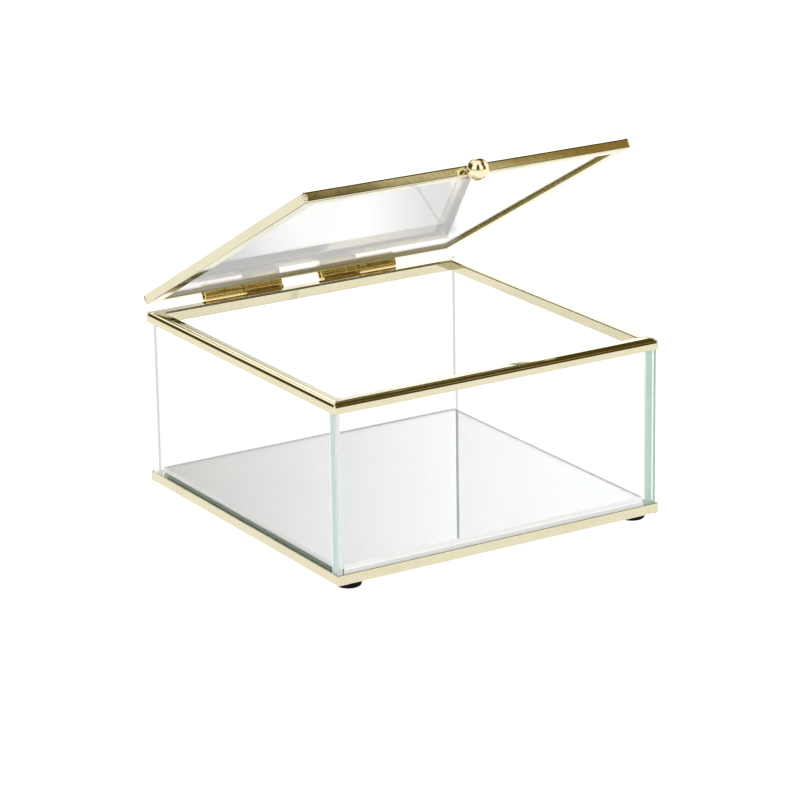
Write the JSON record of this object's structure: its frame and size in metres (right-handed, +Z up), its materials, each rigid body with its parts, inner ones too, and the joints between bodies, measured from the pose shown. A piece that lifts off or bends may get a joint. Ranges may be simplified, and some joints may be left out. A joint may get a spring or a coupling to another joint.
{
  "type": "jewelry box",
  "caption": "Square glass jewelry box edged in brass channel, with a mirror floor, rubber feet and a hinged glass lid with a ball knob, standing open.",
  "frame": {"origin": "on the table at the underside of the feet, under the middle of the footprint with the hinge barrels counted in", "axes": "+Z up; +X along the hinge, to the viewer's right when the knob faces the viewer; +Y to the back, where the hinge is"},
  "size_m": [0.12, 0.1238, 0.126],
  "materials": {
    "frame_brass": "polished brass channel, bright, with soft edges",
    "hinge_brass": "drawn brass tube, soldered",
    "knob_brass": "mirror-polished brass ball",
    "pin_steel": "plain drawn wire",
    "pane_glass": "clear float glass, pale green at the edges",
    "lid_glass": "thin clear float glass",
    "silvered_mirror": "silvered glass plate, mirror side up",
    "board_felt": "felt-faced board",
    "foot_rubber": "matte black rubber bumper"
  },
  "bodies": {
    "box": {"rim_rail_front": "frame_brass", "rim_rail_right": "frame_brass", "rim_rail_back": "frame_brass", "rim_rail_left": "frame_brass", "base_rail_front": "frame_brass", "base_rail_right": "frame_brass", "base_rail_back": "frame_brass", "base_rail_left": "frame_brass", "glass_pane_front": "pane_glass", "glass_pane_right": "pane_glass", "glass_pane_back": "pane_glass", "glass_pane_left": "pane_glass", "mirror_plate": "silvered_mirror", "base_board": "board_felt", "foot_front_left": "foot_rubber", "foot_front_right": "foot_rubber", "foot_back_left": "foot_rubber", "foot_back_right": "foot_rubber", "hinge_barrel_rim_left": "hinge_brass", "hinge_barrel_rim_right": "hinge_brass", "hinge_pin_left": "pin_steel", "hinge_pin_right": "pin_steel"},
    "lid": {"lid_rail_front": "frame_brass", "lid_rail_right": "frame_brass", "lid_rail_back": "frame_brass", "lid_rail_left": "frame_brass", "lid_glass": "lid_glass", "hinge_barrel_lid_left": "hinge_brass", "hinge_barrel_lid_right": "hinge_brass", "knob_ball": "knob_brass", "knob_stud": "hinge_brass"}
  },
  "joints": [
    {"name": "lid_hinge", "type": "hinge", "parent": "box", "child": "lid", "pos_m": [0, 0.06035, 0.06185], "axis": [-1, 0, 0], "range_deg": [-28.4, 81.6]}
  ]
}
